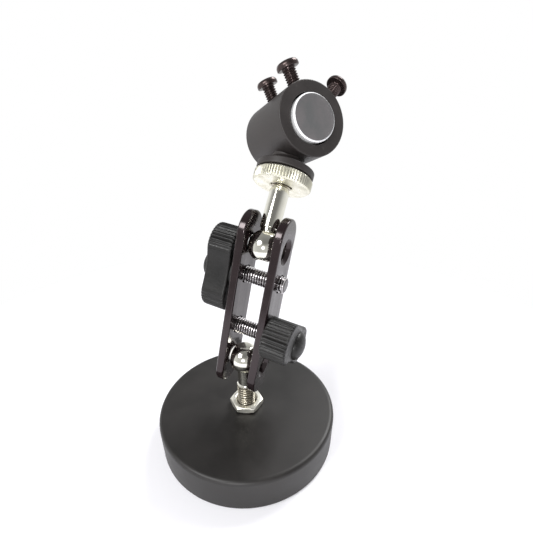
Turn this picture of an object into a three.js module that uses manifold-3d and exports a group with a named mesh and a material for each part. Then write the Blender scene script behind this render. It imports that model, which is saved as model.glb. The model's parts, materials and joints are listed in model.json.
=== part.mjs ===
// Bench stand with a ball-jointed clamp arm that carries a small lens barrel.
// Millimetres, +Z up. The origin is the middle of the pad under the base.
import * as THREE from 'three';
import { mergeVertices } from 'three/addons/utils/BufferGeometryUtils.js';
import Module from 'manifold-3d';

const wasm = await Module();
wasm.setup();

// ---------- driving dimensions ----------
const GAP = 0.3; // clearance between pieces that touch on the real object
const ROUND_STEPS = 28; // sides of a turned piece
const FINE_STEPS = 48; // sides of the base and the barrel
const SMALL_STEPS = 16; // sides of a bolt, a screw or a small hole

// base
const baseRadius = 30;
const baseTop = 12;
const baseEdgeRound = 1.6;
const baseFootRadius = 29.66;
const baseFootChamfer = 0.4;
const padRadius = 27;
const padThickness = 0.8;
const padStandsProud = 0.3;
const studHoleBottom = 3;

// M6 hardware
const m6Radius = 3;
const m6Chamfer = 0.4;
const m6NutAcrossFlats = 10;
const m6NutHeight = 2.2; // a thin lock nut
const nutTurn = -36.6;

// ball studs: the same ball at both ends of the clamp
const ballRadius = 5;
const ballFlatRadius = 2.3;
const neckRadius = 2.6;
const lowerBallHeight = 32;
const lowerThreadTop = 21.5;

// clamp plates
const ballSpacing = 38.66;
const plateGapHalf = 4.25;
const plateThickness = 2.6;
const plateHalfWidth = 6.35;
const plateEndReach = 3.4; // from a ball centre to the centre of the plate's round end
const plateBevel = 0.4;
const seatRadius = 2.95;
const seatMouthRadius = 3.9;
const seatMouthDepth = 1.2;

// clamp bolts and knobs
const boltRadius = 2.5;
const boltFromUpperBall = 10.06;
const boltFromLowerBall = 10.9;
const boltInKnob = 5.5;
const upperBoltProud = 1.9;
const lowerBoltProud = 1.0;
const boltChamfer = 0.5;
const knobThickness = 8;
const knobHalfLength = 13.5;
const knobLobeRadius = 6.2;
const knobWaist = 5.4;
const knobRidges = 9; // ridges round each lobe
const knobRidgeDepth = 0.5;
const knobHubRadius = 5;
const knobHubHeight = 0.7;
const knobRim = 0.8; // bevel round the knob's two faces
const knobCrownRadius = 4.5;
const knobCrownHeight = 2.5;
const upperKnobTurn = 2; // turn of a knob's length away from the plates' length
const lowerKnobTurn = 62;

// upper rod
const rodRadius = 3;
const rodShoulder = 17.45; // from the ball centre to the end of the plain rod
const rodReliefLength = 0.5;
const rodThreadLength = 12;

// knurled lock nut and collar
const knurlRadius = 8.9;
const knurlDepth = 0.35;
const knurlTeeth = 48;
const knurlHeight = 3.7;
const knurlAboveShoulder = 1;
const collarRadius = 8.75;
const collarRimHeight = 2.1;
const collarEdge = 0.3;
const collarConeRadius = 8.1;
const collarBossRadius = 5;
const collarBossUnderBarrel = 0.4; // from the cone's top up to the barrel

// barrel, lens and screws, measured from the point where the rod's axis meets the barrel's axis
const barrelAboveShoulder = 20.4;
const barrelRadius = 10.9;
const barrelFront = 8.6;
const barrelBack = 14;
const barrelBore = 7.4;
const barrelChamfer = 0.4;
const lensRadius = 6.95;
const lensProud = 1.1;
const lensInside = 2;
const lensCrown = 0.25;
const lensChamfer = 0.25;
const sleeveRadius = 7.1;
const sleeveBore = 6.1;
const sleeveBack = 11.5;
const ringThickness = 1.6;
const ringSlotWidth = 1.2;
const ringSlotDepth = 0.7;
const screwRadius = 1.95;
const screwHeadRadius = 3.25;
const screwHeadHeight = 2.2;
const screwHeadRim = 0.9;
const screwShankOut = 4.2; // from the barrel's surface to the underside of the head
const screwRecessWidth = 0.7;
const screwRecessLength = 3;
const screwRecessDepth = 0.9;
const screwFront = 6.1;
const screwRear = -6.5;
const screwLeftAngle = 43;
const screwRightAngle = -23;

// pose of the arm, degrees
const armYaw = -28.3; // turn of the stud in the base
const clampLean = 7.6; // sideways lean that the gap between the plates allows
const clampTilt = -9;
const rodLean = -4.2;
const rodTilt = -26.3;
const headTurn = 45.5;

// ---------- materials ----------
const blackPaint = new THREE.MeshStandardMaterial({ color: 0x2b2a29, roughness: 0.5, metalness: 0.2 });
const blackGloss = new THREE.MeshStandardMaterial({ color: 0x1c1a1b, roughness: 0.18, metalness: 0.7 });
const blackAnodised = new THREE.MeshStandardMaterial({ color: 0x262425, roughness: 0.42, metalness: 0.6 });
const blackPlastic = new THREE.MeshStandardMaterial({ color: 0x20201f, roughness: 0.55, metalness: 0 });
const blackOxide = new THREE.MeshStandardMaterial({ color: 0x1d1818, roughness: 0.35, metalness: 0.8 });
const chrome = new THREE.MeshStandardMaterial({ color: 0xd9d7cb, roughness: 0.12, metalness: 1 });
const nickel = new THREE.MeshStandardMaterial({ color: 0xd6d2be, roughness: 0.22, metalness: 1 });
const steel = new THREE.MeshStandardMaterial({ color: 0xa9a8a6, roughness: 0.3, metalness: 1 });
const glass = new THREE.MeshStandardMaterial({ color: 0xb8bcbc, roughness: 0.05, transparent: true, opacity: 0.5 });
const foam = new THREE.MeshStandardMaterial({ color: 0x1b1b1b, roughness: 0.95, metalness: 0 });

// ---------- helpers ----------
const rad = THREE.MathUtils.degToRad;

// Keeps only positions, joins shared corners and drops triangles with no area.
function weld(geometry) {
  const bare = geometry.clone();
  for (const name of Object.keys(bare.attributes)) {
    if (name !== 'position') bare.deleteAttribute(name);
  }
  const merged = mergeVertices(bare, 1e-4);
  const index = merged.index.array;
  const kept = [];
  for (let i = 0; i < index.length; i += 3) {
    const [a, b, c] = [index[i], index[i + 1], index[i + 2]];
    if (a !== b && b !== c && c !== a) kept.push(a, b, c);
  }
  merged.setIndex(kept);
  return merged;
}

function toSolid(geometry) {
  const welded = weld(geometry);
  const mesh = new wasm.Mesh({
    numProp: 3,
    vertProperties: new Float32Array(welded.attributes.position.array),
    triVerts: new Uint32Array(welded.index.array),
  });
  return new wasm.Manifold(mesh);
}

function toGeometry(solid) {
  const mesh = solid.getMesh();
  const geometry = new THREE.BufferGeometry();
  geometry.setAttribute('position', new THREE.BufferAttribute(new Float32Array(mesh.vertProperties), 3));
  geometry.setIndex(new THREE.BufferAttribute(new Uint32Array(mesh.triVerts), 1));
  geometry.computeVertexNormals();
  return geometry;
}

function cut(body, ...tools) {
  let solid = toSolid(body);
  for (const tool of tools) solid = solid.subtract(toSolid(tool));
  return toGeometry(solid);
}

function join(first, ...others) {
  let solid = toSolid(first);
  for (const other of others) solid = solid.add(toSolid(other));
  return toGeometry(solid);
}

function common(first, second) {
  return toGeometry(toSolid(first).intersect(toSolid(second)));
}

// Turns a profile of [radius, height] points about Z. The points run up the outside.
function turned(points, steps = ROUND_STEPS) {
  const geometry = new THREE.LatheGeometry(points.map(([r, z]) => new THREE.Vector2(r, z)), steps);
  geometry.rotateX(Math.PI / 2);
  return geometry;
}

// A plain round bar along Z from one height to another.
function bar(radius, from, to, steps = ROUND_STEPS) {
  return turned([[0, from], [radius, from], [radius, to], [0, to]], steps);
}

// Points of an arc in a turned profile, about a centre on it.
function arc(centreR, centreZ, radius, fromDegrees, toDegrees, steps) {
  const points = [];
  for (let i = 0; i <= steps; i += 1) {
    const angle = rad(fromDegrees + ((toDegrees - fromDegrees) * i) / steps);
    points.push([centreR + radius * Math.cos(angle), centreZ + radius * Math.sin(angle)]);
  }
  return points;
}

function piece(name, geometry, material) {
  const mesh = new THREE.Mesh(geometry, material);
  mesh.name = name;
  return mesh;
}

// ---------- base ----------
function makeBase() {
  const padRecess = padStandsProud + padThickness;
  const roundCentre = baseRadius - baseEdgeRound;
  const holeRadius = m6Radius + GAP;
  const edge = arc(roundCentre, baseTop - baseEdgeRound, baseEdgeRound, 0, 90, 4);
  return turned([
    [0, padRecess],
    [padRadius + GAP, padRecess],
    [padRadius + GAP, padStandsProud],
    [baseFootRadius - baseFootChamfer, padStandsProud],
    [baseFootRadius, padStandsProud + baseFootChamfer],
    ...edge,
    [holeRadius + m6Chamfer, baseTop],
    [holeRadius, baseTop - m6Chamfer],
    [holeRadius, studHoleBottom],
    [0, studHoleBottom],
  ], FINE_STEPS);
}

function makePad() {
  return bar(padRadius, 0, padThickness, FINE_STEPS);
}

// A hexagon prism with both ends chamfered to the circle of its flats.
function makeHexNut() {
  const cornerRadius = m6NutAcrossFlats / Math.sqrt(3);
  const flatRadius = m6NutAcrossFlats / 2;
  const chamfer = (cornerRadius - flatRadius) * Math.tan(rad(30));
  const prism = new THREE.CylinderGeometry(cornerRadius, cornerRadius, m6NutHeight, 6);
  prism.rotateX(Math.PI / 2);
  prism.rotateZ(rad(30));
  prism.translate(0, 0, m6NutHeight / 2);
  const cones = turned([
    [0, 0],
    [flatRadius, 0],
    [cornerRadius + 0.01, chamfer],
    [cornerRadius + 0.01, m6NutHeight - chamfer],
    [flatRadius, m6NutHeight],
    [0, m6NutHeight],
  ]);
  const holeRadius = m6Radius + GAP;
  const bore = turned([
    [0, -1],
    [holeRadius + m6Chamfer + 1, -1],
    [holeRadius, m6Chamfer],
    [holeRadius, m6NutHeight - m6Chamfer],
    [holeRadius + m6Chamfer + 1, m6NutHeight + 1],
    [0, m6NutHeight + 1],
  ]);
  return cut(common(prism, cones), bore);
}

// ---------- ball studs ----------
const ballFlatHeight = Math.sqrt(ballRadius ** 2 - ballFlatRadius ** 2);
const neckHeight = Math.sqrt(ballRadius ** 2 - neckRadius ** 2);

// The ball's outside, from the neck round to the flat, for a stud that stands below its ball.
function ballProfile(centreZ) {
  const neckAngle = -THREE.MathUtils.radToDeg(Math.acos(neckRadius / ballRadius));
  const flatAngle = THREE.MathUtils.radToDeg(Math.acos(ballFlatRadius / ballRadius));
  return arc(0, centreZ, ballRadius, neckAngle, flatAngle, 10);
}

function makeLowerStud() {
  const studBottom = studHoleBottom + 1;
  return turned([
    [0, studBottom],
    [m6Radius - m6Chamfer, studBottom],
    [m6Radius, studBottom + m6Chamfer],
    [m6Radius, lowerThreadTop],
    [neckRadius, lowerThreadTop + m6Chamfer],
    ...ballProfile(lowerBallHeight),
    [0, lowerBallHeight + ballFlatHeight],
  ]);
}

// The rod stands above its ball, so its ball is turned upside down.
function makeUpperRod() {
  const threadTop = rodShoulder + rodReliefLength + rodThreadLength;
  const ball = ballProfile(0).map(([r, z]) => [r, -z]).reverse();
  const rodStart = neckHeight + 0.7;
  return turned([
    [0, -ballFlatHeight],
    ...ball,
    [neckRadius, rodStart],
    [rodRadius, rodStart + m6Chamfer],
    [rodRadius, rodShoulder - m6Chamfer],
    [rodRadius - m6Chamfer, rodShoulder],
    [rodRadius - m6Chamfer, rodShoulder + rodReliefLength],
    [m6Radius, rodShoulder + rodReliefLength + m6Chamfer],
    [m6Radius, threadTop - m6Chamfer],
    [m6Radius - m6Chamfer, threadTop],
    [0, threadTop],
  ]);
}

// ---------- clamp ----------
// The clamp's own frame: X across the plates, Z along them, origin at the lower ball.
// A plate is drawn in its own plane, then stood up with its outer face towards side (+1 or -1).
function makePlate(side) {
  const low = -plateEndReach;
  const high = ballSpacing + plateEndReach;
  const shape = new THREE.Shape();
  const radius = plateHalfWidth - plateBevel;
  shape.absarc(0, high, radius, 0, Math.PI, false);
  shape.absarc(0, low, radius, Math.PI, 2 * Math.PI, false);
  shape.closePath();
  const blank = new THREE.ExtrudeGeometry(shape, {
    depth: plateThickness - 2 * plateBevel,
    bevelEnabled: true,
    bevelThickness: plateBevel,
    bevelSize: plateBevel,
    bevelSegments: 1,
    curveSegments: 12,
  });
  blank.translate(0, 0, plateBevel);
  const seats = [0, ballSpacing].map((z) => {
    const seat = turned([
      [0, -1],
      [seatRadius, -1],
      [seatRadius, plateThickness - seatMouthDepth],
      [seatMouthRadius, plateThickness],
      [seatMouthRadius, plateThickness + 1],
      [0, plateThickness + 1],
    ]);
    seat.translate(0, z, 0);
    return seat;
  });
  const boltHoles = [boltFromLowerBall, ballSpacing - boltFromUpperBall].map((z) => {
    const hole = bar(boltRadius + GAP, -1, plateThickness + 1, SMALL_STEPS);
    hole.translate(0, z, 0);
    return hole;
  });
  const plate = cut(blank, ...seats, ...boltHoles);
  plate.applyMatrix4(standUp(side));
  plate.translate(side * plateGapHalf, 0, 0);
  return plate;
}

// Takes a drawing in the XY plane, thickness along Z, to the clamp: Y becomes Z and Z becomes side * X.
function standUp(side) {
  const across = new THREE.Vector3(0, side, 0);
  const along = new THREE.Vector3(0, 0, 1);
  const outward = new THREE.Vector3(side, 0, 0);
  return new THREE.Matrix4().makeBasis(across, along, outward);
}

// A bolt along the outward direction of its knob: from inside the knob to past the far plate.
function makeBolt(proud) {
  const outerFace = plateGapHalf + plateThickness;
  const headEnd = outerFace + GAP + knobHubHeight + boltInKnob;
  const farEnd = -(outerFace + proud);
  return turned([
    [0, farEnd],
    [boltRadius - boltChamfer, farEnd],
    [boltRadius, farEnd + boltChamfer],
    [boltRadius, headEnd],
    [0, headEnd],
  ], SMALL_STEPS);
}

// Outline of a knob: two ridged lobes joined by a slightly waisted middle.
function knobOutline() {
  const lobeCentre = knobHalfLength - knobLobeRadius;
  const sweep = rad(200);
  const steps = knobRidges * 2;
  const points = [];
  for (const end of [1, -1]) {
    for (let i = 0; i <= steps; i += 1) {
      const along = i / steps;
      const angle = (end > 0 ? 0 : Math.PI) + rad(90) + sweep * (0.5 - along) - rad(90);
      const ridge = (1 - Math.cos(2 * Math.PI * knobRidges * along)) / 2;
      const radius = knobLobeRadius - knobRidgeDepth * (1 - ridge);
      points.push(new THREE.Vector2(end * lobeCentre + radius * Math.cos(angle), radius * Math.sin(angle)));
    }
    points.push(new THREE.Vector2(0, -end * knobWaist));
  }
  return points;
}

function makeKnob(turn) {
  const outerFace = plateGapHalf + plateThickness;
  const hubStart = outerFace + GAP;
  const bodyStart = hubStart + knobHubHeight;
  const bodyEnd = bodyStart + knobThickness;
  const body = new THREE.ExtrudeGeometry(new THREE.Shape(knobOutline()), {
    depth: knobThickness - 2 * knobRim,
    bevelEnabled: true,
    bevelThickness: knobRim,
    bevelSize: knobRim,
    bevelOffset: -knobRim,
    bevelSegments: 1,
  });
  body.translate(0, 0, bodyStart + knobRim);
  const hub = bar(knobHubRadius, hubStart, bodyStart + 1);
  const crown = turned([
    [0, bodyEnd - 1],
    [knobCrownRadius, bodyEnd - 1],
    [knobCrownRadius, bodyEnd],
    [knobCrownRadius * 0.87, bodyEnd + knobCrownHeight * 0.5],
    [knobCrownRadius * 0.5, bodyEnd + knobCrownHeight * 0.87],
    [0, bodyEnd + knobCrownHeight],
  ]);
  const bore = bar(boltRadius + GAP, hubStart - 1, bodyStart + boltInKnob + GAP, SMALL_STEPS);
  const knob = cut(join(body, hub, crown), bore);
  knob.rotateZ(rad(turn));
  return knob;
}

// ---------- lock nut and collar on the rod ----------
function makeKnurledNut() {
  const profile = new THREE.Shape();
  for (let i = 0; i < knurlTeeth * 2; i += 1) {
    const angle = (Math.PI * i) / knurlTeeth;
    const radius = i % 2 ? knurlRadius - knurlDepth : knurlRadius;
    const point = [radius * Math.cos(angle), radius * Math.sin(angle)];
    if (i === 0) profile.moveTo(...point);
    else profile.lineTo(...point);
  }
  profile.closePath();
  const blank = new THREE.ExtrudeGeometry(profile, { depth: knurlHeight, bevelEnabled: false });
  const chamfer = 0.5;
  const inner = knurlRadius - knurlDepth - 0.2;
  const envelope = turned([
    [0, 0],
    [inner, 0],
    [knurlRadius + 0.05, chamfer],
    [knurlRadius + 0.05, knurlHeight - chamfer],
    [inner, knurlHeight],
    [0, knurlHeight],
  ]);
  const bore = bar(m6Radius + GAP, -1, knurlHeight + 1);
  return cut(common(blank, envelope), bore);
}

// The collar's top follows the barrel, so the barrel rests in it like a saddle.
function makeCollar() {
  const start = knurlAboveShoulder + knurlHeight + GAP;
  const saddleBottom = barrelAboveShoulder - barrelRadius;
  const rimTop = start + collarRimHeight;
  const blankTop = saddleBottom + 1.6;
  const blank = turned([
    [0, start],
    [collarRadius - collarEdge, start],
    [collarRadius, start + collarEdge],
    [collarRadius, rimTop - collarEdge],
    [collarRadius - collarEdge, rimTop],
    [collarConeRadius, rimTop],
    [collarBossRadius, saddleBottom - collarBossUnderBarrel],
    [collarBossRadius, blankTop],
    [0, blankTop],
  ]);
  const barrel = bar(barrelRadius + GAP, -barrelFront - 9, barrelBack + 9, FINE_STEPS);
  barrel.rotateX(-Math.PI / 2);
  barrel.translate(0, 0, barrelAboveShoulder);
  const bore = bar(m6Radius + GAP, 0, barrelAboveShoulder);
  const collar = cut(blank, barrel, bore);
  collar.translate(0, 0, -barrelAboveShoulder);
  return collar;
}

// ---------- barrel ----------
// The head's own frame: origin where the axes meet, Z up the rod, the barrel's front towards -Y.
// A piece turned about Z with its front at +Z is laid down by this.
function layDown(geometry) {
  geometry.rotateX(Math.PI / 2);
  return geometry;
}

// Direction in which a clamp screw stands out of the barrel, as a turn about the barrel's axis.
function aimScrew(geometry, along, angle) {
  geometry.rotateY(-rad(angle));
  geometry.translate(0, -along, 0);
  return geometry;
}

const screwPlaces = [
  ['clamp_screw_rear_left', screwRear, screwLeftAngle],
  ['clamp_screw_front_left', screwFront, screwLeftAngle],
  ['clamp_screw_rear_right', screwRear, screwRightAngle],
  ['clamp_screw_front_right', screwFront, screwRightAngle],
];

function makeBarrel() {
  const tube = layDown(turned([
    [barrelBore, -barrelBack],
    [barrelRadius - barrelChamfer, -barrelBack],
    [barrelRadius, -barrelBack + barrelChamfer],
    [barrelRadius, barrelFront - barrelChamfer],
    [barrelRadius - barrelChamfer, barrelFront],
    [barrelBore, barrelFront],
    [barrelBore, -barrelBack],
  ], FINE_STEPS));
  const screwHoles = screwPlaces.map(([, along, angle]) => (
    aimScrew(bar(screwRadius + GAP, barrelBore - 2, barrelRadius + 2, SMALL_STEPS), along, angle)
  ));
  const rodHole = bar(m6Radius + GAP, -barrelRadius - 2, -barrelBore + 2);
  return cut(tube, ...screwHoles, rodHole);
}

function makeLens() {
  const back = barrelFront - lensInside;
  const front = barrelFront + lensProud;
  return layDown(turned([
    [0, back],
    [lensRadius - lensChamfer, back],
    [lensRadius, back + lensChamfer],
    [lensRadius, front - lensChamfer],
    [lensRadius - lensChamfer, front],
    [lensRadius * 0.5, front + lensCrown * 0.75],
    [0, front + lensCrown],
  ]));
}

function makeSleeve() {
  const front = barrelFront - lensInside - GAP;
  return layDown(turned([
    [sleeveBore, -sleeveBack],
    [sleeveRadius, -sleeveBack],
    [sleeveRadius, front],
    [sleeveBore, front],
    [sleeveBore, -sleeveBack],
  ]));
}

function makeRetainingRing() {
  const front = -sleeveBack - GAP;
  const back = front - ringThickness;
  const ring = turned([
    [sleeveBore, back],
    [sleeveRadius, back],
    [sleeveRadius, front],
    [sleeveBore, front],
    [sleeveBore, back],
  ]);
  const slot = new THREE.BoxGeometry(sleeveRadius * 3, ringSlotWidth, ringSlotDepth * 2);
  slot.translate(0, 0, back);
  return layDown(cut(ring, slot));
}

// Pan-head screw with a cross recess. Its tip stands just off the sleeve.
function makeScrew() {
  const tip = sleeveRadius + GAP;
  const seat = barrelRadius + screwShankOut;
  const top = seat + screwHeadHeight;
  const body = turned([
    [0, tip],
    [screwRadius - 0.3, tip],
    [screwRadius, tip + 0.3],
    [screwRadius, seat],
    [screwHeadRadius - 0.2, seat],
    [screwHeadRadius, seat + 0.2],
    [screwHeadRadius, seat + screwHeadRim],
    [screwHeadRadius * 0.88, seat + screwHeadHeight * 0.78],
    [screwHeadRadius * 0.55, seat + screwHeadHeight * 0.96],
    [0, top],
  ], SMALL_STEPS);
  const arms = [0, 90].map((angle) => {
    const arm = new THREE.BoxGeometry(screwRecessLength, screwRecessWidth, screwRecessDepth * 2);
    arm.rotateZ(rad(angle));
    arm.translate(0, 0, top);
    return arm;
  });
  return cut(body, ...arms);
}

// ---------- assembly ----------
const base = new THREE.Group();
const nutPiece = piece('base_lock_nut', makeHexNut(), chrome);
nutPiece.position.z = baseTop + GAP;
nutPiece.rotation.z = rad(nutTurn);
base.add(
  piece('base_body', makeBase(), blackPaint),
  piece('base_pad', makePad(), foam),
  piece('lower_ball_stud', makeLowerStud(), chrome),
  nutPiece,
);

// Clamp frame: origin at the lower ball, turned, then leaned, then tilted.
const clamp = new THREE.Group();
clamp.position.z = lowerBallHeight;
clamp.rotation.set(rad(clampTilt), rad(clampLean), rad(armYaw), 'ZYX');

// A bolt and knob are made along +Z, with the knob outward, and swung to one side of the clamp.
function placeAcross(mesh, side, height) {
  mesh.rotation.y = side * (Math.PI / 2);
  mesh.position.z = height;
  return mesh;
}

const upperBoltHeight = ballSpacing - boltFromUpperBall;
clamp.add(
  piece('left_clamp_plate', makePlate(-1), blackGloss),
  piece('right_clamp_plate', makePlate(1), blackGloss),
  placeAcross(piece('upper_clamp_bolt', makeBolt(upperBoltProud), steel), -1, upperBoltHeight),
  placeAcross(piece('upper_knob', makeKnob(upperKnobTurn), blackPlastic), -1, upperBoltHeight),
  placeAcross(piece('lower_clamp_bolt', makeBolt(lowerBoltProud), steel), 1, boltFromLowerBall),
  placeAcross(piece('lower_knob', makeKnob(lowerKnobTurn), blackPlastic), 1, boltFromLowerBall),
);

// Rod frame: origin at the upper ball.
const rod = new THREE.Group();
rod.position.z = ballSpacing;
rod.rotation.set(rad(rodTilt), rad(rodLean), 0, 'ZYX');
const knurledNut = piece('knurled_lock_nut', makeKnurledNut(), nickel);
knurledNut.position.z = rodShoulder + knurlAboveShoulder;
rod.add(piece('upper_ball_rod', makeUpperRod(), chrome), knurledNut);
clamp.add(rod);

// Head frame: origin where the barrel's axis meets the rod's axis.
const head = new THREE.Group();
head.position.z = rodShoulder + barrelAboveShoulder;
head.rotation.z = rad(headTurn);
head.add(
  piece('saddle_collar', makeCollar(), blackAnodised),
  piece('barrel', makeBarrel(), blackAnodised),
  piece('lens', makeLens(), glass),
  piece('lens_sleeve', makeSleeve(), blackAnodised),
  piece('lens_retaining_ring', makeRetainingRing(), blackAnodised),
);
for (const [name, along, angle] of screwPlaces) {
  head.add(piece(name, aimScrew(makeScrew(), along, angle), blackOxide));
}
rod.add(head);

const stand = new THREE.Group();
stand.add(base, clamp);
export default stand;
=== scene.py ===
"""Looks of the bench stand: a round base, a ball-jointed clamp arm and a small lens barrel."""
import json
import math

import bmesh
import bpy
from mathutils import Matrix, Vector


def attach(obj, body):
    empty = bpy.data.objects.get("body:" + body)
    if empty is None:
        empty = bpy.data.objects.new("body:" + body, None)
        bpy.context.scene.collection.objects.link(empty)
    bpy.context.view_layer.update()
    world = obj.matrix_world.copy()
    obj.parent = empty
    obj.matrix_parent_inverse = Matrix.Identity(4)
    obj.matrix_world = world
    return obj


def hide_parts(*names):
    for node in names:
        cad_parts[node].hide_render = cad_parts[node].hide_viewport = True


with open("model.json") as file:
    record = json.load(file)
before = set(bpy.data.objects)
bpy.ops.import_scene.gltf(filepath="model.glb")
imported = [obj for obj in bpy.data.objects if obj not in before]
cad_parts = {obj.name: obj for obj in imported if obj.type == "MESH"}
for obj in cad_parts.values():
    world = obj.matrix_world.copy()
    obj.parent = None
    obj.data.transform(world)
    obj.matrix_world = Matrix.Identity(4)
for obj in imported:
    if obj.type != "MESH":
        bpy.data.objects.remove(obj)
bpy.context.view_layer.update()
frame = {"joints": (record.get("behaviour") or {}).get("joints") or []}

# ---------- driving dimensions, in millimetres ----------
MM = 0.001
TAU = 2 * math.pi
GAP = 0.3  # clearance between pieces that touch on the real object
ROUND = 128  # sides of a turned piece
SMALL = 64  # sides of a bolt, a screw or a hole
SCREW_SIDES = 48  # sides of a barrel screw and its hole
ROD_SIDES = 96
BARREL_SIDES = 160
TOUCH = 1e-6  # radii closer than this count as equal

# how corners are finished
CORNER = 0.15  # rounding of a small outer corner
FINE_CORNER = 0.12  # rounding of a corner that is hardly seen
INNER_CORNER = 0.1  # rounding at the mouth of a bore or the foot of a step
HIGH_STEPS = 5  # steps round a corner that is seen close up
BASE_STEPS = 7  # steps round a corner of the base
EDGE_ANGLE = 40  # edges sharper than this, in degrees, can be rounded
CREASE = 35  # edges sharper than this, in degrees, are shaded sharp

BASE_R = 30.0
BASE_FOOT_R = 29.66
BASE_TOP = 12.0
BASE_EDGE = 1.6
PAD_R = 27.0
PAD_T = 0.8
PAD_PROUD = 0.3
STUD_HOLE_BOTTOM = 3.0

# threads: the crest, root and run-out are shares of the pitch
THREAD_ROWS = 12  # rows of points for each turn of a thread
THREAD_DEPTH = 0.58  # of the pitch
SCREW_THREAD_DEPTH = 0.45  # of the pitch, on the barrel's screws
THREAD_CREST = 0.14
THREAD_ROOT = 0.2
THREAD_RUN_OUT = 0.7
GROOVE_SHADE = (0.022, 0.016, 0.017)  # colour of the painted shade down in a thread's grooves

M6_R = 3.0
M6_PITCH = 1.0
NUT_FLATS = 10.0
NUT_H = 2.2
NUT_TURN = -36.6
NUT_POINTS = 3 * SMALL  # points round the nut

BALL_R = 5.0
BALL_FLAT_R = 2.3
BALL_FLAT_EDGE = 1.5  # degrees of the ball that the edge of its flat takes up
BALL_STEPS = 40  # steps from a ball's neck to its flat
NECK_R = 2.6
LOWER_THREAD_TOP = 21.5

PLATE_INNER = 4.25
PLATE_T = 2.6
PLATE_HALF_W = 6.35
PLATE_REACH = 3.4
PLATE_EDGE = 0.55
SEAT_R = 2.95
SEAT_MOUTH_R = 3.9
SEAT_MOUTH_DEPTH = 1.2

BOLT_R = 2.5
BOLT_PITCH = 0.8
UPPER_BOLT_PROUD = 1.9
LOWER_BOLT_PROUD = 1.0
BOLT_IN_KNOB = 5.5

KNOB_T = 8.0
KNOB_HALF_LENGTH = 13.5
KNOB_LOBE_R = 6.2
KNOB_WAIST = 5.4
KNOB_RIM = 0.8
KNOB_RIDGE_PITCH = 1.15
KNOB_RIDGE_DEPTH = 0.42
KNOB_HUB_R = 5.0
KNOB_HUB_H = 0.7
KNOB_CROWN_R = 4.5
KNOB_CROWN_H = 2.5
KNOB_SWEEP = 200  # degrees of ridges round each lobe
LOBE_STEPS = 120  # steps round a lobe
WAIST_STEPS = 16  # steps along a waisted side
RIM_STEPS = 6  # steps round a rim
WALL_STEPS = 5  # bands of faces up the side of a knob
RIM_RIDGES = 0.3  # depth of the ridges where the rim ends, as a share of their full depth
DOME_STEPS = 14  # rows of points up the dome in the middle of a knob
UPPER_KNOB_TURN = 2
LOWER_KNOB_TURN = 62

ROD_R = 3.0
ROD_SHOULDER = 17.45
ROD_RELIEF = 0.5
ROD_THREAD = 12.0

KNURL_R = 8.9
KNURL_DEPTH = 0.35
KNURL_TEETH = 66
KNURL_H = 3.7
KNURL_CUT = 0.5  # chamfer of the knurled rim
KNURL_POINTS = 8  # points round each tooth
KNURL_ABOVE_SHOULDER = 1.0
COLLAR_R = 8.75
COLLAR_RIM_H = 2.1
COLLAR_CONE_R = 8.1
COLLAR_BOSS_R = 5.0
COLLAR_BOSS_UNDER_BARREL = 0.4

BARREL_ABOVE_SHOULDER = 20.4
BARREL_R = 10.9
BARREL_FRONT = 8.6
BARREL_BACK = 14.0
BARREL_BORE = 7.4
LENS_R = 6.95
LENS_PROUD = 1.1
LENS_INSIDE = 2.0
LENS_CROWN = 0.25
LENS_CHAMFER = 0.4
CROWN_STEPS = 12  # steps from the middle of the lens to its rim, where the last two are the chamfer's
FACE_MARGIN = 0.02  # a point this far inside a face still counts as on it
SLEEVE_R = 7.1
SLEEVE_BORE = 6.1
SLEEVE_BACK = 11.5
RING_T = 1.6
RING_SLOT_W = 1.2  # the slot across the ring's rear face, for a spanner
RING_SLOT_DEPTH = 0.7
SCREW_R = 1.95
SCREW_PITCH = 0.7
SCREW_HEAD_R = 3.25
SCREW_HEAD_H = 2.2
SCREW_SHANK_OUT = 4.2
SCREW_FRONT = 6.1
SCREW_REAR = -6.5
SCREW_LEFT_ANGLE = 43
SCREW_RIGHT_ANGLE = -23

# camera: place, then pan, tilt and roll in degrees
CAMERA_PLACE = (0.0, -100.0, 112.6)
CAMERA_PAN = -4.3
CAMERA_TILT = -25.56
CAMERA_ROLL = 0.8
CAMERA_LENS = 25.7
CAMERA_SENSOR = 36.0

# the studio's brightness by direction: from, to, brightness at from, brightness at to
WORLD_DEPTH = (-0.75, 0.4, 0.6, 1.0)
WORLD_HEIGHT = (0.2, 0.7, 1.0, 0.35)

WHITE = (1.0, 1.0, 1.0, 1.0)
FLOOR_REACH = 170.0  # radius of the floor
FLOOR_GLOW = 0.15  # the floor gives off a little light, so it stays white

# lamps: place and, for the area lamps, size in millimetres
LIT_POINT = (10, 10, 60)
SUN_PLACE = (60, 55, 90)
SUN_STRENGTH = 2.2
SUN_ANGLE = 25
WINDOW_PLACE = (-330, -260, 420)
WINDOW_SIZE = 240
WINDOW_POWER = 2.2
FRONT_PLACE = (-110, -420, 150)
FRONT_SIZE = 90
FRONT_POWER = 0.8


# ---------- frames of the moving bodies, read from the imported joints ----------
def axes_at(origin, x, y, z):
    """A matrix that stands at origin (metres) with the given axes."""
    turn = Matrix((x, y, z)).transposed().to_4x4()
    return Matrix.Translation(origin) @ turn


joints = {joint["name"]: joint for joint in frame["joints"]}


def joint_place(name):
    return Vector(joints[name]["pos_m"])


def joint_axis(name):
    return Vector(joints[name]["axis"]).normalized()


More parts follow.
